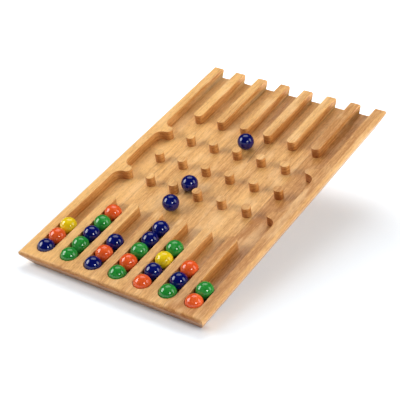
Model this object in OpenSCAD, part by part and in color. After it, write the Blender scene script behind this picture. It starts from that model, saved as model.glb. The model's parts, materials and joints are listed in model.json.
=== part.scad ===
// Galton board: a tilted hardwood panel with milled start lanes, a staggered
// field of pegs and collecting bins, and the glass marbles that run down it.
// Board coordinates: x across, v up the slope from the front edge, w square to the face.

/* [Marbles] */
// Diameter of a marble
marble_d = 15.6; // [14:0.1:18]
// Gap between a resting marble and the wood, or the next marble
marble_gap = 0.2; // [0.1:0.05:0.3]

/* [Lanes and pegs] */
// Side play of a marble in a lane, both sides together
lane_play = 1.2; // [0.6:0.1:1.6]
// Side play of a marble between two pegs of a row, both sides together
peg_play = 1.6; // [0.8:0.1:2.4]
// Diameter of a peg
peg_d = 8.8; // [7:0.2:11]
// Depth of the milled lanes, bins and peg field below the face
pocket_depth = 9.6; // [8:0.2:11]
// Marbles that one bin holds
bin_capacity = 5; // [5:1:7]
// Free length of a full bin above its top marble
bin_headroom = 10.5; // [2:0.5:20]
// Distance from the tips of the bin dividers to the lowest row of pegs
run_in = 38; // [36:0.5:60]
// Distance between two rows of pegs
row_pitch = 33.2; // [30:0.2:44]
// Distance from the top row of pegs to the noses of the start dividers
nose_gap = 29.4; // [24:0.2:44]
// Length of a start lane, from its divider's nose to the top end
lane_len = 81.2; // [50:0.2:120]

/* [Panel] */
// Width of the side walls
wall_w = 10.5; // [7:0.5:16]
// Wood between the ends of the bins and the front edge
front_margin = 8.5; // [6:0.5:16]
// Thickness of the panel
panel_t = 18; // [17:0.5:24]
// Radius of the rounded upper edges
edge_r = 3; // [1:0.5:4]
// Lean of the undercut edges below that, square to the face at 0
undercut = 30; // [20:1:45]
// Radius of the panel's corners, seen from above
corner_r = 1.5; // [0.5:0.5:8]

/* [Stand] */
// Slope of the panel
tilt = 13.5; // [10:0.5:18]
// Width of the flat along the front lower edge that rests on the table
land_w = 3; // [1.5:0.5:5]
// Width of the prop foot, across the panel
foot_w = 74; // [50:1:110]
// Thickness of the prop foot
foot_t = 18; // [12:1:26]
// Distance from the top end to the prop foot, along the slope
foot_setback = 34; // [15:1:70]
// Depth of the housing that the prop foot is glued into
housing_depth = 4; // [2:0.5:5]
// Play of the prop foot in its housing, on each side
housing_play = 0.1; // [0.05:0.05:0.3]
// Rounding of the prop foot's upright edges
foot_r = 3; // [1:0.5:5]

/* [Rolling marbles] */
// Free length between the upper rolling marble and the peg below it
upper_run = 3.5; // [0.5:0.5:8]
// Height of the middle rolling marble above the lowest row of pegs
middle_run = 7.6; // [4:0.1:9]
// Free length between the middle and the lower rolling marble
run_spacing = 14.5; // [8:0.5:16]

/* [Hidden] */
$fn = 96;
LANES = 7;
PEG_ROWS = 3;
STAVES = ["left_outer_stave", "left_inner_stave", "centre_stave",
          "right_inner_stave", "right_outer_stave"];

// Marbles of each bin from the bottom up, as the run has left them
BINS = [["blue", "orange", "yellow"],
        ["green", "green", "blue", "green", "orange"],
        ["blue", "orange", "blue"],
        ["green", "orange", "green", "blue", "blue"],
        ["orange", "blue", "yellow", "green"],
        ["green", "blue", "orange"],
        ["orange", "green"]];
GLASS = [["blue", "midnightblue"], ["green", "forestgreen"],
         ["orange", "orangered"], ["yellow", "gold"]];

// Widths that follow from the marble, the pegs and their play
lane_w = marble_d + lane_play;
pitch = marble_d + peg_play + peg_d;
divider_w = pitch - lane_w;
panel_w = LANES * pitch - divider_w + 2 * wall_w;
edge_lane_x = (LANES - 1) / 2 * pitch;
// One cutter, as wide as a lane, mills every pocket and rounds its inner corners
cutter_r = lane_w / 2;
// Glue lines pass midway between pegs and dividers, three half pitches apart
stave_w = 3 * pitch / 2;

// Stations up the slope
marble_step = marble_d + marble_gap;
bin_len = bin_capacity * marble_step + bin_headroom;
bin_end_v = front_margin + cutter_r;
tip_v = front_margin + bin_len;
first_row_v = tip_v + run_in;
last_row_v = first_row_v + (PEG_ROWS - 1) * row_pitch;
nose_v = last_row_v + nose_gap;
panel_l = nose_v + lane_len;
foot_v = panel_l - foot_setback - foot_t / 2;
marble_w = marble_d / 2 + marble_gap - pocket_depth;

// Centre of an edge's round, from the edge inwards, and the place where the round passes into the
// undercut; the round is set a little high, so that it meets face and undercut at a slight angle
round_centre = [edge_r, -0.99 * edge_r];
round_end = round_centre - 0.99 * edge_r * [cos(undercut), sin(undercut)];
undercut_w = round_end[0] + (panel_t + round_end[1]) * tan(undercut);
// Height of the panel over the table, with the front lower edge cut to a flat
front_slope = 90 - undercut - tilt;
land_cut = land_w / (1 / tan(front_slope) + 1 / tan(tilt));
panel_z = panel_t * cos(tilt) - undercut_w * sin(tilt) - land_cut;
front_y = round_centre[0] * cos(tilt) - round_centre[1] * sin(tilt) - edge_r;
back_y = (panel_l - round_centre[0]) * cos(tilt) - round_centre[1] * sin(tilt) + edge_r;
// Overshoot of cutting tools past the faces that they cut
over = marble_d;

function lane_x(lane) = (lane - (LANES + 1) / 2) * pitch;
function row_v(row) = first_row_v + row * row_pitch;
function bin_v(place) = front_margin + marble_gap + marble_d / 2 + (place - 1) * marble_step;
function glass_colour(name) = [for (g = GLASS) if (g[0] == name) g[1]][0];

// Every marble: its name, colour, x and v
BIN_MARBLES = [for (b = [0 : LANES - 1], i = [0 : len(BINS[b]) - 1])
    [str("bin_", b + 1, "_marble_", i + 1), BINS[b][i], lane_x(b + 1), bin_v(i + 1)]];
// Rolling marbles: one above a peg of the top row, two passing between pegs of the lowest row
divider_3_x = -pitch / 2;
middle_run_v = first_row_v + middle_run;
RUN_MARBLES = [
    ["upper_rolling_marble", "blue", 0, last_row_v + (peg_d + marble_d) / 2 + upper_run],
    ["middle_rolling_marble", "blue", divider_3_x, middle_run_v],
    ["lower_rolling_marble", "blue", divider_3_x, middle_run_v - marble_d - run_spacing]];
MARBLES = concat(BIN_MARBLES, RUN_MARBLES);

// Stands a shape given in board coordinates on the table, centred over the origin
module on_slope() {
    translate([0, -(front_y + back_y) / 2, panel_z]) rotate([tilt, 0, 0]) children();
}

// All space above the table
module above_table() {
    reach = panel_l + panel_w;
    translate([-reach, -reach, 0]) cube(2 * reach);
}

// Area seen from above that leaves only the panel's corners out, so that they come out rounded
module rounded_corners() {
    inset = 0.9 * corner_r;
    inner = panel_w / 2 - inset;
    translate([-panel_w / 2 - over, inset]) square([panel_w + 2 * over, panel_l - 2 * inset]);
    translate([-inner, -over]) square([2 * inner, panel_l + 2 * over]);
    for (x = [-inner, inner], v = [inset, panel_l - inset]) translate([x, v]) circle(corner_r);
}

// Section through an edge, from the edge inwards: the sharp upper corner of the undercut is rounded off
module edge_profile(length) {
    corner = [undercut_w - panel_t * tan(undercut), 0];
    difference() {
        polygon([corner, [length, 0], [length, -panel_t], [undercut_w, -panel_t]]);
        difference() {
            polygon([round_centre, [edge_r, over], [-over, over], 2 * round_end - round_centre]);
            translate(round_centre) circle(edge_r);
        }
    }
}

// Section through the panel from edge to edge, with the same profile at both
module section(width) {
    intersection() {
        edge_profile(width + over);
        translate([width, 0]) mirror([1, 0]) edge_profile(width + over);
    }
}

// The panel before milling: its section across, its section along the slope and its corners
module blank() {
    intersection() {
        translate([-panel_w / 2, panel_l + over, 0]) rotate([90, 0, 0])
            linear_extrude(panel_l + 2 * over) section(panel_w);
        translate([-panel_w / 2 - over, 0, 0]) rotate([90, 0, 90])
            linear_extrude(panel_w + 2 * over) section(panel_l);
        translate([0, 0, -panel_t - over]) linear_extrude(panel_t + 2 * over) rounded_corners();
    }
}

// A straight pass of the cutter up a lane
module pass(x, from_v, to_v) {
    translate([x, from_v]) circle(cutter_r);
    translate([x - cutter_r, from_v]) square([lane_w, to_v - from_v]);
    translate([x, to_v]) circle(cutter_r);
}

// Passes along a side wall: round ends below and above leave the side bumps between them
module wall_passes(x) {
    clear_v = peg_d / 2 + cutter_r;
    pass(x, bin_end_v, first_row_v - clear_v);
    for (row = [0 : 2 : PEG_ROWS - 3])
        pass(x, row_v(row) + clear_v, row_v(row + 2) - clear_v);
    pass(x, last_row_v + clear_v, panel_l + over);
}

// Pegs of one row: in line with the lanes on even rows, with the dividers on odd rows
module peg_row(row) {
    odd = row % 2;
    count = LANES - odd;
    for (i = [1 : count])
        translate([lane_x(i) + odd * pitch / 2, row_v(row)]) circle(d = peg_d);
}

// Dividers of the bins and of the start lanes, with round tips that face each other
module dividers() {
    nose_r = divider_w / 2;
    for (i = [1 : LANES - 1]) translate([lane_x(i) + pitch / 2, 0]) {
        translate([-nose_r, 0]) square([divider_w, tip_v - nose_r]);
        translate([0, tip_v - nose_r]) circle(nose_r);
        translate([0, nose_v + nose_r]) circle(nose_r);
        translate([-nose_r, nose_v + nose_r]) square([divider_w, lane_len + over]);
    }
}

// Everything that the cutter takes out of the panel's face
module milled_area() {
    difference() {
        union() {
            translate([-edge_lane_x, bin_end_v])
                square([2 * edge_lane_x, panel_l + over - bin_end_v]);
            for (lane = [2 : LANES - 1]) translate([lane_x(lane), bin_end_v]) circle(cutter_r);
            wall_passes(-edge_lane_x);
            wall_passes(edge_lane_x);
        }
        dividers();
        for (row = [0 : PEG_ROWS - 1]) peg_row(row);
    }
}

// Shape of the prop foot's end, larger all round by the given play
module foot_end(play) {
    half_w = foot_w / 2 - foot_r;
    half_t = foot_t / 2 - foot_r;
    translate([-half_w, -half_t - foot_r - play]) square([2 * half_w, foot_t + 2 * play]);
    translate([-half_w - foot_r - play, -half_t]) square([foot_w + 2 * play, 2 * half_t]);
    for (x = [-half_w, half_w], v = [-half_t, half_t]) translate([x, v]) circle(foot_r + play);
}

// One glued stave of the panel, milled on the face and housed for the foot below
module stave(index) {
    last = len(STAVES) - 1;
    left = index == 0 ? -panel_w : (index - len(STAVES) / 2) * stave_w;
    right = index == last ? panel_w : (index + 1 - len(STAVES) / 2) * stave_w;
    color(index % 2 == 0 ? "burlywood" : "tan") intersection() {
        on_slope() difference() {
            intersection() {
                blank();
                translate([left, -over, -panel_t]) cube([right - left, panel_l + 2 * over, panel_t]);
            }
            translate([0, 0, -pocket_depth]) linear_extrude(pocket_depth + over) milled_area();
            translate([0, foot_v, -panel_t - over])
                linear_extrude(over + housing_depth) foot_end(housing_play);
        }
        above_table();
    }
}

// The foot that props up the top end: square to the panel, cut flat on the table
module prop_foot() {
    reach = panel_l * sin(tilt) + panel_t;
    color("peru") intersection() {
        on_slope() translate([0, foot_v, housing_depth - panel_t - reach])
            linear_extrude(reach) foot_end(0);
        above_table();
    }
}

// One glass marble on the floor of its lane
module marble(m) {
    color(glass_colour(m[1])) on_slope() translate([m[2], m[3], marble_w]) sphere(d = marble_d);
}

for (i = [0 : len(STAVES) - 1]) stave(i);
prop_foot();
for (m = MARBLES) marble(m);
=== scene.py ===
import json
from math import pi, radians

import bmesh
import bpy
from mathutils import Euler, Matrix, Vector


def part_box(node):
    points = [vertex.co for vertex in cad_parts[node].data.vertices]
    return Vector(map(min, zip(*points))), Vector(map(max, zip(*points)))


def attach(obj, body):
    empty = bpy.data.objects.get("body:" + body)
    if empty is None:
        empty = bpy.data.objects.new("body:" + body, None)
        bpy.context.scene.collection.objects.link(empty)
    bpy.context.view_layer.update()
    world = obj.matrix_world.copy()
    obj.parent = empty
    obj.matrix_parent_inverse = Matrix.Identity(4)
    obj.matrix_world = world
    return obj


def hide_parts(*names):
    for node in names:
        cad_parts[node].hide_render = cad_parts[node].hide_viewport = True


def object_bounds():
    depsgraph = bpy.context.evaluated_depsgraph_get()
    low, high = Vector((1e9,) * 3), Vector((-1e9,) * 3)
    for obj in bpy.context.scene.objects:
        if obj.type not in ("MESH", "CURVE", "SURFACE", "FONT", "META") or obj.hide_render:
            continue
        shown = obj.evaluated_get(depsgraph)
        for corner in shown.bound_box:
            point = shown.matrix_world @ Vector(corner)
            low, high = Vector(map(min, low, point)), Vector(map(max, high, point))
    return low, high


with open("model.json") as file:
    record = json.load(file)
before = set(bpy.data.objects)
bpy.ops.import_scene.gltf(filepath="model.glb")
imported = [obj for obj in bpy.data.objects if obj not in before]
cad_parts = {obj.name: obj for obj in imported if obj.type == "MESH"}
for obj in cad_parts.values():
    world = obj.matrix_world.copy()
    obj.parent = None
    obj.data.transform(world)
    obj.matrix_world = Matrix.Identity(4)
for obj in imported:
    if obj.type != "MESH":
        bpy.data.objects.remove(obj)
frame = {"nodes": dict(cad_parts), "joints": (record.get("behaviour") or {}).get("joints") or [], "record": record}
cad_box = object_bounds()
bpy.context.scene.view_settings.view_transform = "Standard"

# Staves of the panel
# Five lengths of light hardwood, glued edge to edge, planed flush and then milled from the face.
# The cutter's crisp rims and the outer arrises were eased with sandpaper, and the wood was oiled.
MM = 0.001
STAVES = ["left_outer_stave", "left_inner_stave", "centre_stave", "right_inner_stave", "right_outer_stave"]
# Edges that bend more than SHARP are eased, and faces that bend less than FLAT are one face
SHARP = radians(30)
FLAT = radians(0.3)
ARRIS_RADIUS = 0.45 * MM
ARRIS_STEPS = 2
SAME_POINT = 0.001 * MM
ON_SEAM = 0.01 * MM
# How deep in colour each stave is, from 0 pale to 1 brown, where its pith lay below the face
# (across and down, in mm), and how far along the plank it was cut, in mm
STAVE_DEPTH = [0.14, 0.34, 0.48, 0.39, 0.76]
STAVE_PITH = [(-140, -60), (10, -95), (-25, -75), (95, -110), (30, -70)]
STAVE_CUT = [110, 470, 930, 1360, 1790]
PALE_WOOD = (0.83, 0.475, 0.165, 1)
DEEP_WOOD = (0.46, 0.185, 0.043, 1)
# Patches of the grain: mm across it, mm along it, and levels of finer detail
TONE_PATCH = (15, 90, 2)
STREAK_PATCH = (1.8, 48, 4)
FLECK_PATCH = (0.9, 5, 2)
FIGURE_PATCH = (11, 34, 2)
PORE_PATCH = (0.55, 4.5, 1)
# How far each swings the depth of colour; growth rings do so more where the grain ends
TONE_SWING = 0.9
STREAK_SWING = 1.3
FLECK_SWING = 1.1
RING_SWING = 0.22
END_RING_SWING = 0.3
RING_PITCH = 3.4 * MM
RING_TAPER = 0.06
RING_WAVES = {"Distortion": 3, "Detail": 2, "Detail Scale": 0.35}
WAVE_TURN = 20
# Pale figure and dark pores: where in their noise they begin and are full, and how much shows
FIGURE_AND_HIGHLIGHT_WOOD = (0.89, 0.575, 0.27, 1)
FIGURE_EDGE = (0.48, 0.72)
FIGURE_SHARE = 0.5
PORE_BROWN = (0.33, 0.14, 0.04, 1)
PORE_EDGE = (0.58, 0.70)
PORE_SHARE = 0.35
# Tints of the end grain and the milled walls, the walls' a painted shade, and how squarely a face looks along the
# grain or up
END_GRAIN = (0.64, 0.52, 0.48, 1)
END_GRAIN_EDGE = (0.35, 0.95)
MILLED_WALL_SHADE = (0.98, 0.93, 0.87, 1)
WALL_EDGE = (0.2, 0.8)
MILLED_DEPTH = 10 * MM
RIM = 4 * MM
# How much the outer sides are painted paler, a painted highlight on their rounded edges
EDGE_HIGHLIGHT_SHARE = 0.2
# The pockets' side walls are painted to about one deeper brown, a painted shade, and paler towards the open back
# end, a painted light
WALL_SHADE_DEPTH = 0.6
WALL_SHADE_SHARE = 0.8
BACK_END_LIGHT_DEPTH = 0.05
BACK_END_LIGHT_REACH = 14 * MM
# It cut in steps, each with a faint line, and the walls are painted darker towards their foot, a painted shade
FOOT_SHADE_TINT = (0.80, 0.70, 0.60, 1)
FOOT_SHADE_SHARE = 0.6
CUTTER_STEP = 3.2 * MM
CUTTER_LINE_EDGE = (0.6, 1.0)
CUTTER_LINE_SHARE = 0.4
# A dark vein in the centre stave: from and to, across and up the slope from the front edge, and how wide
VEIN_START = Vector((9.2, 234)) * MM
VEIN_END = Vector((12, 200)) * MM
VEIN_WIDTH = 0.9 * MM
VEIN_SHARE = 0.65
GLUE_BROWN = (0.36, 0.17, 0.06, 1)
GLUE_LINE = 0.22 * MM
GLUE_SHARE = 0.7
# The oiled surface: its gloss, its roughness, more along the streaks, and the relief of flecks and pores
OIL_GLOSS = 0.3
OILED_ROUGHNESS = 0.24
STREAK_ROUGHNESS = 0.24
FLECK_RELIEF = 0.6
PORE_RELIEF = -1.0
RELIEF_STRENGTH = 0.25
RELIEF_HEIGHT = 0.08 * MM

# The slope that every marble rolls along is the panel's own length, and the grain's
up_slope = Vector(next(j["axis"] for j in frame["joints"] if j["name"] == "upper_rolling_marble_roll"))
face_normal = Vector((0, -up_slope.z, up_slope.y))
panel_points = [vertex.co for vertex in frame["nodes"]["centre_stave"].data.vertices]
face_level = max(point.dot(face_normal) for point in panel_points)
front_level = min(point.dot(up_slope) for point in panel_points)
back_level = max(point.dot(up_slope) for point in panel_points)


def add_node(tree, kind, inputs=None, **settings):
    """Adds a node to a tree; an input takes a plain value or another node's output."""
    made = tree.nodes.new(kind)
    for name, value in settings.items():
        setattr(made, name, value)
    for name, value in (inputs or {}).items():
        if isinstance(value, bpy.types.NodeSocket):
            tree.links.new(value, made.inputs[name])
        else:
            made.inputs[name].default_value = value
    return made


def calculate(tree, operation, *values, clamp=False):
    """One sum with numbers."""
    inputs = dict(enumerate(values))
    return add_node(tree, "ShaderNodeMath", inputs, operation=operation, use_clamp=clamp).outputs[0]


def calculate_vector(tree, operation, *values):
    """One sum with vectors."""
    return add_node(tree, "ShaderNodeVectorMath", dict(enumerate(values)), operation=operation).outputs[0]


def reach_along(tree, vector, direction):
    """How far a vector reaches in one direction."""
    inputs = {0: vector, 1: direction}
    return add_node(tree, "ShaderNodeVectorMath", inputs, operation="DOT_PRODUCT").outputs["Value"]


def mix_colours(tree, share, first, second, blend="MIX"):
    """Blends two colours; a Mix node keeps its colour sockets in places 6 and 7."""
    inputs = {0: share, 6: first, 7: second}
    return add_node(tree, "ShaderNodeMix", inputs, data_type="RGBA", blend_type=blend).outputs[2]


def step_between(tree, value, low, high):
    """0 below low, 1 above high, smooth between."""
    inputs = {"Value": value, "From Min": low, "From Max": high}
    return add_node(tree, "ShaderNodeMapRange", inputs, interpolation_type="SMOOTHSTEP").outputs[0]


def grain_noise(tree, point, patch):
    """Noise drawn out along the grain, in patches of the given size."""
    mm_across, mm_along, detail = patch
    scale = Vector((1 / mm_across, 1 / mm_along, 1 / mm_across)) / MM
    inputs = {"Vector": calculate_vector(tree, "MULTIPLY", point, scale), "Scale": 1, "Detail": detail}
    return add_node(tree, "ShaderNodeTexNoise", inputs).outputs[0]


def hardwood(name, grain, depth, pith, cut, seams):
    """Solid wood with its grain along one way: growth rings round a pith, streaks, pores and glue lines."""
    material = bpy.data.materials.new(name)
    material.use_nodes = True
    tree = material.node_tree
    surface = tree.nodes["Principled BSDF"]
    place = add_node(tree, "ShaderNodeTexCoord").outputs
    turn = grain.rotation_difference(Vector((0, 1, 0))).to_euler()
    turned = {"Vector": place["Object"], "Rotation": turn, "Location": (0, cut * MM, 0)}
    point = add_node(tree, "ShaderNodeMapping", turned).outputs[0]

    # Where on the board this is: grain end, outer side, wall or pocket, and how far down and up the slope
    facing_grain = calculate(tree, "ABSOLUTE", reach_along(tree, place["Normal"], grain))
    end_grain = step_between(tree, facing_grain, *END_GRAIN_EDGE)
    facing_up = calculate(tree, "ABSOLUTE", reach_along(tree, place["Normal"], face_normal))
    wall = calculate(tree, "SUBTRACT", 1, step_between(tree, facing_up, *WALL_EDGE))
    across = add_node(tree, "ShaderNodeSeparateXYZ", {0: place["Object"]}).outputs["X"]
    from_middle = calculate(tree, "ABSOLUTE", across)
    outside = step_between(tree, from_middle, cad_box[1].x - RIM, cad_box[1].x - RIM / 2)
    milled = calculate(tree, "MULTIPLY", wall, calculate(tree, "SUBTRACT", 1, outside))
    below = calculate(tree, "SUBTRACT", face_level, reach_along(tree, place["Object"], face_normal))
    up_the_slope = reach_along(tree, place["Object"], up_slope)
    behind_rail = calculate(tree, "GREATER_THAN", up_the_slope, front_level + RIM)
    in_pocket = calculate(tree, "MULTIPLY", calculate(tree, "LESS_THAN", below, MILLED_DEPTH), behind_rail)
    # Painted light: the lanes are paler towards the open back end, where light comes in
    lit_back_end = step_between(tree, up_the_slope, back_level - BACK_END_LIGHT_REACH, back_level)

    # Growth rings, and the noise that the grain is made of
    from_pith = calculate_vector(tree, "ADD", point, (-pith[0] * MM, 0, -pith[1] * MM))
    drawn = calculate_vector(tree, "MULTIPLY", from_pith, (1, RING_TAPER, 1))
    waves = {"Vector": drawn, "Scale": 2 * pi / (WAVE_TURN * RING_PITCH)} | RING_WAVES
    rings = {"wave_type": "RINGS", "rings_direction": "Y", "wave_profile": "SAW"}
    ring = add_node(tree, "ShaderNodeTexWave", waves, **rings).outputs["Fac"]
    tone = grain_noise(tree, point, TONE_PATCH)
    streak = grain_noise(tree, point, STREAK_PATCH)
    fleck = grain_noise(tree, point, FLECK_PATCH)
    figure = step_between(tree, grain_noise(tree, point, FIGURE_PATCH), *FIGURE_EDGE)
    pore = step_between(tree, grain_noise(tree, point, PORE_PATCH), *PORE_EDGE)

    # Depth of colour: the stave's own, or the walls' painted shade and light, and the swings of the grain
    painted_wall_depth = calculate(tree, "MULTIPLY_ADD", lit_back_end, BACK_END_LIGHT_DEPTH - WALL_SHADE_DEPTH, WALL_SHADE_DEPTH)
    side_grain = calculate(tree, "SUBTRACT", in_pocket, end_grain, clamp=True)
    side_wall = calculate(tree, "MULTIPLY", milled, side_grain)
    wall_shade = calculate(tree, "MULTIPLY", side_wall, WALL_SHADE_SHARE)
    share = calculate(tree, "MULTIPLY_ADD", calculate(tree, "SUBTRACT", painted_wall_depth, depth), wall_shade, depth)
    ring_swing = calculate(tree, "MULTIPLY_ADD", end_grain, END_RING_SWING, RING_SWING)
    share = calculate(tree, "MULTIPLY_ADD", calculate(tree, "SUBTRACT", ring, 0.5), ring_swing, share)
    for noise, swing in ((tone, TONE_SWING), (streak, STREAK_SWING), (fleck, FLECK_SWING)):
        share = calculate(tree, "ADD", share, calculate(tree, "MULTIPLY_ADD", noise, swing, -swing / 2))
    colour = mix_colours(tree, share, PALE_WOOD, DEEP_WOOD)
    colour = mix_colours(tree, calculate(tree, "MULTIPLY", figure, FIGURE_SHARE), colour, FIGURE_AND_HIGHLIGHT_WOOD)
    colour = mix_colours(tree, calculate(tree, "MULTIPLY", pore, PORE_SHARE), colour, PORE_BROWN)
    colour = mix_colours(tree, end_grain, colour, END_GRAIN, "MULTIPLY")
    # Painted highlight: the outer sides are painted paler
    colour = mix_colours(tree, calculate(tree, "MULTIPLY", outside, EDGE_HIGHLIGHT_SHARE), colour, FIGURE_AND_HIGHLIGHT_WOOD)
    # Painted shade: the milled walls are tinted darker and browner than the face
    colour = mix_colours(tree, milled, colour, MILLED_WALL_SHADE, "MULTIPLY")

    # The cutter's step lines, and painted shade that darkens the walls towards their foot
    in_step = calculate(tree, "FRACT", calculate(tree, "DIVIDE", below, CUTTER_STEP))
    cutter_line = step_between(tree, in_step, *CUTTER_LINE_EDGE)
    cutter_line = calculate(tree, "MULTIPLY", cutter_line, CUTTER_LINE_SHARE)
    step_lines_and_foot_shade = step_between(tree, below, 0, MILLED_DEPTH)
    step_lines_and_foot_shade = calculate(tree, "MULTIPLY_ADD", step_lines_and_foot_shade, FOOT_SHADE_SHARE, cutter_line)
    short_of_back_end = calculate(tree, "SUBTRACT", in_pocket, lit_back_end, clamp=True)
    step_lines_and_foot_shade = calculate(tree, "MULTIPLY", calculate(tree, "MULTIPLY", step_lines_and_foot_shade, short_of_back_end), milled)
    colour = mix_colours(tree, step_lines_and_foot_shade, colour, FOOT_SHADE_TINT, "MULTIPLY")

    # The vein, and the glue lines
    up_the_vein = calculate(tree, "SUBTRACT", up_the_slope, front_level)
    slant = {"Value": up_the_vein, "From Min": VEIN_END.y, "From Max": VEIN_START.y}
    slant |= {"To Min": VEIN_END.x, "To Max": VEIN_START.x}
    vein_x = add_node(tree, "ShaderNodeMapRange", slant, clamp=False).outputs[0]
    from_vein = calculate(tree, "ABSOLUTE", calculate(tree, "SUBTRACT", across, vein_x))
    vein = calculate(tree, "SUBTRACT", 1, step_between(tree, from_vein, VEIN_WIDTH / 4, VEIN_WIDTH))
    vein_middle = (VEIN_START.y + VEIN_END.y) / 2
    in_reach = calculate(tree, "COMPARE", up_the_vein, vein_middle, VEIN_START.y - vein_middle)
    vein = calculate(tree, "MULTIPLY", calculate(tree, "MULTIPLY", vein, in_reach), VEIN_SHARE)
    colour = mix_colours(tree, vein, colour, PORE_BROWN)
    for seam in seams:
        from_seam = calculate(tree, "ABSOLUTE", calculate(tree, "SUBTRACT", across, seam))
        clear_of_glue = step_between(tree, from_seam, 0, 2 * GLUE_LINE)
        glue = calculate(tree, "SUBTRACT", GLUE_SHARE, clear_of_glue, clamp=True)
        colour = mix_colours(tree, glue, colour, GLUE_BROWN)

    roughness = calculate(tree, "MULTIPLY_ADD", streak, STREAK_ROUGHNESS, OILED_ROUGHNESS)
    relief = calculate(tree, "MULTIPLY", fleck, FLECK_RELIEF)
    relief = calculate(tree, "MULTIPLY_ADD", pore, PORE_RELIEF, relief)
    raised = {"Height": relief, "Strength": RELIEF_STRENGTH, "Distance": RELIEF_HEIGHT}
    bump = add_node(tree, "ShaderNodeBump", raised).outputs[0]
    tree.links.new(colour, surface.inputs["Base Color"])
    tree.links.new(roughness, surface.inputs["Roughness"])
    tree.links.new(bump, surface.inputs["Normal"])
    surface.inputs["Specular IOR Level"].default_value = OIL_GLOSS
    return material


def eased_copy(node, seams):
    """A CAD node's form with its triangles joined up and every sharp edge eased, but for the glued ones."""
    shape = bmesh.new()
    shape.from_mesh(frame["nodes"][node].data)
    bmesh.ops.remove_doubles(shape, verts=shape.verts, dist=SAME_POINT)
    bmesh.ops.dissolve_limit(shape, angle_limit=FLAT, verts=shape.verts, edges=shape.edges)
    eased = shape.edges.layers.float.new("bevel_weight_edge")
    for face in shape.faces:
        face.smooth = True
    for edge in shape.edges:
        glued = any(all(abs(v.co.x - seam) < ON_SEAM for v in edge.verts) for seam in seams)
        bend = edge.calc_face_angle_signed(0)
        edge[eased] = float(bend > SHARP and not glued)
        edge.smooth = abs(bend) < SHARP or edge[eased] > 0
    mesh = bpy.data.meshes.new(node + "_eased")
    shape.to_mesh(mesh)
    shape.free()
    piece = bpy.data.objects.new(node + "_eased", mesh)
    bpy.context.scene.collection.objects.link(piece)
    easing = piece.modifiers.new("Sanded arrises", "BEVEL")
    easing.limit_method = "WEIGHT"
    easing.width = ARRIS_RADIUS
    easing.segments = ARRIS_STEPS
    shading = piece.modifiers.new("Flat faces", "WEIGHTED_NORMAL")
    shading.keep_sharp = True
    return piece


for index, node in enumerate(STAVES):
    low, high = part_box(node)
    seams = ([low.x] if index > 0 else []) + ([high.x] if index < len(STAVES) - 1 else [])
    stave = eased_copy(node, seams)
    wood = hardwood(node + "_wood", up_slope, STAVE_DEPTH[index], STAVE_PITH[index], STAVE_CUT[index], seams)
    stave.data.materials.append(wood)
    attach(stave, "board")
    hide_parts(node)

# Prop foot
# A short plank of the same wood, on edge under the top end with its grain across the board. It is
# glued into a housing in the underside, and its lower edge is sawn to the slope so that it stands flat.
FOOT_GRAIN = Vector((1, 0, 0))
FOOT_DEPTH = 0.45
FOOT_PITH = (20, -160)
FOOT_CUT = 2240
foot = eased_copy("prop_foot", [])
foot.data.materials.append(hardwood("prop_foot_wood", FOOT_GRAIN, FOOT_DEPTH, FOOT_PITH, FOOT_CUT, []))
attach(foot, "board")
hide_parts("prop_foot")

# Marbles
# Pressed marbles of opaque coloured glass, fire-polished, each a little out of round. Those in
# the bins lie against each other, and three are still on their way down.
MARBLE_SUBDIVISIONS = 5
OUT_OF_ROUND = 0.02 * MM
WAVE_LENGTH = 5 * MM
# Body and swirl of each glass
GLASS_COLOURS = {
    "glass_blue": ((0.0010, 0.0035, 0.095, 1), (0.003, 0.010, 0.18, 1)),
    "glass_green": ((0.014, 0.22, 0.027, 1), (0.07, 0.38, 0.09, 1)),
    "glass_orange": ((0.73, 0.090, 0.016, 1), (0.88, 0.18, 0.05, 1)),
    "glass_yellow": ((0.74, 0.52, 0.006, 1), (0.88, 0.68, 0.03, 1)),
}
GLASS_IOR = 1.56
SWIRLS = {"Scale": 90, "Detail": 3, "Distortion": 1.6}
SWIRL_EDGE = (0.45, 0.75)
SWIRL_SHARE = 0.6
SMEARS = {"Scale": 420, "Detail": 4}
SMEAR_ROUGHNESS = 0.06
POLISHED_ROUGHNESS = 0.02


def opaque_glass(slot, body_colour, swirl_colour):
    """Opaque glass with faint swirls of a lighter batch, under a polished skin with smears of handling."""
    material = bpy.data.materials.new(slot + "_swirled")
    material.use_nodes = True
    tree = material.node_tree
    surface = tree.nodes["Principled BSDF"]
    point = {"Vector": add_node(tree, "ShaderNodeTexCoord").outputs["Object"]}
    swirl = step_between(tree, add_node(tree, "ShaderNodeTexNoise", point | SWIRLS).outputs[0], *SWIRL_EDGE)
    colour = mix_colours(tree, calculate(tree, "MULTIPLY", swirl, SWIRL_SHARE), body_colour, swirl_colour)
    smear = add_node(tree, "ShaderNodeTexNoise", point | SMEARS).outputs[0]
    roughness = calculate(tree, "MULTIPLY_ADD", smear, SMEAR_ROUGHNESS, POLISHED_ROUGHNESS)
    tree.links.new(colour, surface.inputs["Base Color"])
    tree.links.new(roughness, surface.inputs["Roughness"])
    surface.inputs["IOR"].default_value = GLASS_IOR
    return material


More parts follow.
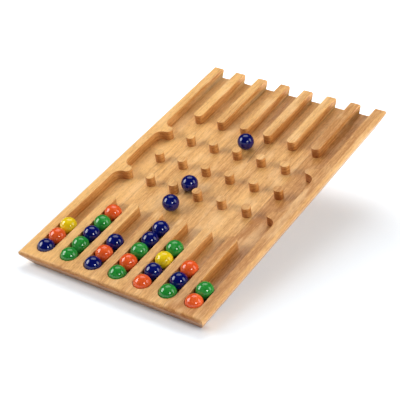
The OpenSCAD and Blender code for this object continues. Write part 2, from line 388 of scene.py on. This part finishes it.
def marble_tree():
    """Geometry Nodes for one marble: a ball, pushed out of round by slow waves, at its place on the board."""
    tree = bpy.data.node_groups.new("Pressed marble", "GeometryNodeTree")
    face = tree.interface
    face.new_socket("Diameter", in_out="INPUT", socket_type="NodeSocketFloat")
    face.new_socket("Out of round", in_out="INPUT", socket_type="NodeSocketFloat")
    face.new_socket("Wave length", in_out="INPUT", socket_type="NodeSocketFloat")
    face.new_socket("Centre", in_out="INPUT", socket_type="NodeSocketVector")
    face.new_socket("Seed", in_out="INPUT", socket_type="NodeSocketFloat")
    face.new_socket("Glass", in_out="INPUT", socket_type="NodeSocketMaterial")
    face.new_socket("Geometry", in_out="OUTPUT", socket_type="NodeSocketGeometry")
    given = tree.nodes.new("NodeGroupInput").outputs

    radius = calculate(tree, "MULTIPLY", given["Diameter"], 0.5)
    ball_size = {"Radius": radius, "Subdivisions": MARBLE_SUBDIVISIONS}
    ball = add_node(tree, "GeometryNodeMeshIcoSphere", ball_size).outputs["Mesh"]
    frequency = calculate(tree, "DIVIDE", 1.0, given["Wave length"])
    slow_waves = {"W": given["Seed"], "Scale": frequency, "Detail": 0}
    waves = add_node(tree, "ShaderNodeTexNoise", slow_waves, noise_dimensions="4D").outputs[0]
    swing = calculate(tree, "SUBTRACT", waves, 0.5)
    reach = calculate(tree, "MULTIPLY", swing, given["Out of round"])
    outward = add_node(tree, "GeometryNodeInputNormal").outputs[0]
    push = add_node(tree, "ShaderNodeVectorMath", {0: outward, "Scale": reach}, operation="SCALE").outputs[0]
    formed = add_node(tree, "GeometryNodeSetPosition", {"Geometry": ball, "Offset": push}).outputs[0]
    smooth = add_node(tree, "GeometryNodeSetShadeSmooth", {"Geometry": formed}).outputs[0]
    moved = {"Geometry": smooth, "Translation": given["Centre"]}
    placed = add_node(tree, "GeometryNodeTransform", moved).outputs[0]
    whole = add_node(tree, "GeometryNodeRealizeInstances", {"Geometry": placed}).outputs[0]
    glazing = {"Geometry": whole, "Material": given["Glass"]}
    glazed = add_node(tree, "GeometryNodeSetMaterial", glazing).outputs[0]
    tree.links.new(glazed, tree.nodes.new("NodeGroupOutput").inputs["Geometry"])
    return tree


def grown(name, tree, inputs):
    """Runs a Geometry Nodes tree with the given inputs and returns its result as a plain mesh object."""
    holder = bpy.data.objects.new(name + "_holder", bpy.data.meshes.new(name))
    bpy.context.scene.collection.objects.link(holder)
    modifier = holder.modifiers.new(tree.name, "NODES")
    modifier.node_group = tree
    identifiers = {socket.name: socket.identifier for socket in tree.interface.items_tree}
    for socket, value in inputs.items():
        modifier[identifiers[socket]] = value
    graph = bpy.context.evaluated_depsgraph_get()
    mesh = bpy.data.meshes.new_from_object(holder.evaluated_get(graph))
    holder.modifiers.remove(modifier)
    bpy.data.objects.remove(holder)
    piece = bpy.data.objects.new(name, mesh)
    bpy.context.scene.collection.objects.link(piece)
    return piece


glass = {slot: opaque_glass(slot, *colours) for slot, colours in GLASS_COLOURS.items()}
pressed_marble = marble_tree()
marbles = [part for part in frame["record"]["subparts"] if part["material_slot"] in glass]
for seed, part in enumerate(marbles):
    node = part["node"]
    slot = part["material_slot"]
    low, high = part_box(node)
    sizes = {"Diameter": high.x - low.x, "Out of round": OUT_OF_ROUND, "Wave length": WAVE_LENGTH}
    place = {"Centre": (low + high) / 2, "Seed": float(seed), "Glass": glass[slot]}
    marble = grown(node + "_glass", pressed_marble, sizes | place)
    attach(marble, node)
    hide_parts(node)

# Floor
# A plain white sweep that the board stands on. It shows white to the eye and takes the shadow. Its glow is held
# back along the front edge, where the board touches it, painting the shadow there deeper, and a painted light far
# off fades the cast shadow out.
FLOOR_HALF = 6.0
FLOOR_GAP = 0.02 * MM
FLOOR_COLOUR = (0.77, 0.82, 0.87, 1)
FLOOR_ROUGHNESS = 0.9
GLOW_COLOUR = (1, 1, 1, 1)
NEAR_GLOW = 0.22
FAR_GLOW = 0.30
# How far from the front edge the near glow is full, inside which it paints a deeper shadow, and the far glow, a
# painted light that fades the cast shadow, begins and is full
CONTACT_SHADE = 9 * MM
SHADOW_REACH = (220 * MM, 340 * MM)

floor_z = cad_box[0].z - FLOOR_GAP
ends = (-FLOOR_HALF, FLOOR_HALF)
corners = [(ends[0], ends[0], floor_z), (ends[1], ends[0], floor_z)]
corners += [(ends[1], ends[1], floor_z), (ends[0], ends[1], floor_z)]
floor_mesh = bpy.data.meshes.new("floor")
floor_mesh.from_pydata(corners, [], [range(len(corners))])
floor = bpy.data.objects.new("floor", floor_mesh)
bpy.context.scene.collection.objects.link(floor)
white = bpy.data.materials.new("white_sweep")
white.use_nodes = True
sweep = white.node_tree
paper = sweep.nodes["Principled BSDF"]
paper.inputs["Base Color"].default_value = FLOOR_COLOUR
paper.inputs["Roughness"].default_value = FLOOR_ROUGHNESS
paper.inputs["Specular IOR Level"].default_value = 0
paper.inputs["Emission Color"].default_value = GLOW_COLOUR
rays = add_node(sweep, "ShaderNodeLightPath").outputs
seen = calculate(sweep, "ADD", rays["Is Camera Ray"], rays["Is Glossy Ray"])
seen = calculate(sweep, "ADD", seen, rays["Is Transmission Ray"], clamp=True)
on_floor = add_node(sweep, "ShaderNodeTexCoord").outputs["Object"]
lowest = min(frame["nodes"]["centre_stave"].data.vertices, key=lambda vertex: vertex.co.z).co
touching = [v.co.x for v in frame["nodes"]["right_outer_stave"].data.vertices if v.co.z < lowest.z + MM]
from_edge = calculate_vector(sweep, "SUBTRACT", on_floor, (0, lowest.y, floor_z))
from_edge = calculate_vector(sweep, "ABSOLUTE", from_edge)
past_edge = calculate_vector(sweep, "SUBTRACT", from_edge, (max(touching), 0, 0))
past_edge = calculate_vector(sweep, "MAXIMUM", past_edge, (0, 0, 0))
away = add_node(sweep, "ShaderNodeVectorMath", {0: past_edge}, operation="LENGTH").outputs["Value"]
# Painted light far off, fading the cast shadow, and painted shade near the front edge, where the glow is held back
far_glow = calculate(sweep, "MULTIPLY", step_between(sweep, away, *SHADOW_REACH), FAR_GLOW)
near_glow = step_between(sweep, away, 0, CONTACT_SHADE)
floor_glow = calculate(sweep, "MULTIPLY_ADD", near_glow, NEAR_GLOW, far_glow)
sweep.links.new(calculate(sweep, "MULTIPLY", seen, floor_glow), paper.inputs["Emission Strength"])
floor.data.materials.append(white)

# Light
# Four soft boxes, overhead, on the left, on the right and front right, show in the gloss. Three matte
# boards, overhead, low on the right and low behind, give light that is too even to show there.
BOARD_CENTRE = Vector((0, 0, 0.05))
LAMPS = {
    # Name: where it stands (degrees round from the back to the right, degrees up), how far it is turned
    # on its stand, distance, width and height, glow, where 1 is as bright as white paper in plain light,
    # and whether gloss shows it
    "overhead_box": (-38, 66, 0, 1.3, 1.2, 0.85, 2.5, True),
    "left_box": (-121, 27, 40, 1.5, 0.86, 1.12, 7.0, True),
    "right_box": (68, 28, 0, 1.6, 0.8, 1.15, 2.9, True),
    "front_right_box": (120, 25, 0, 1.5, 0.42, 0.42, 15.0, True),
    "overhead_board": (-38, 66, 0, 1.4, 1.8, 1.35, 1.1, False),
    "right_board": (95, 8, 0, 1.2, 1.3, 0.29, 5.2, False),
    "back_board": (48, 7, 0, 1.2, 1.0, 0.25, 6.0, False),
}
FILL = 0.03
FILL_COLOUR = (1, 1, 1, 1)
for name, (bearing, height, turn, distance, wide, tall, glow, in_gloss) in LAMPS.items():
    lamp = bpy.data.lights.new(name, "AREA")
    lamp.shape = "ELLIPSE"
    lamp.size = wide
    lamp.size_y = tall
    lamp.energy = glow * pi * (pi / 4 * wide * tall)
    box = bpy.data.objects.new(name, lamp)
    bpy.context.scene.collection.objects.link(box)
    towards = Vector((0, 1, 0))
    towards.rotate(Euler((radians(height), 0, radians(-bearing))))
    box.location = BOARD_CENTRE + distance * towards
    box.rotation_euler = towards.to_track_quat("Z", "Y").to_euler()
    box.rotation_euler.rotate_axis("Z", radians(turn))
    box.visible_camera = False
    box.visible_glossy = in_gloss

world = bpy.data.worlds.new("even_fill")
bpy.context.scene.world = world
world.use_nodes = True
world.node_tree.nodes["Background"].inputs["Color"].default_value = FILL_COLOUR
world.node_tree.nodes["Background"].inputs["Strength"].default_value = FILL

# Camera
# A long lens in front of the board on its right, looking down on the face.
CAMERA_PLACE = (0.5664, -0.8431, 0.5618)
CAMERA_TURN = (62.295, -0.359, 34.565)
CAMERA_LENS = 113.46
SENSOR = 36
lens = bpy.data.cameras.new("camera")
lens.lens = CAMERA_LENS
lens.sensor_width = SENSOR
camera = bpy.data.objects.new("camera", lens)
camera.location = CAMERA_PLACE
camera.rotation_euler = [radians(angle) for angle in CAMERA_TURN]
bpy.context.scene.collection.objects.link(camera)
bpy.context.scene.camera = camera
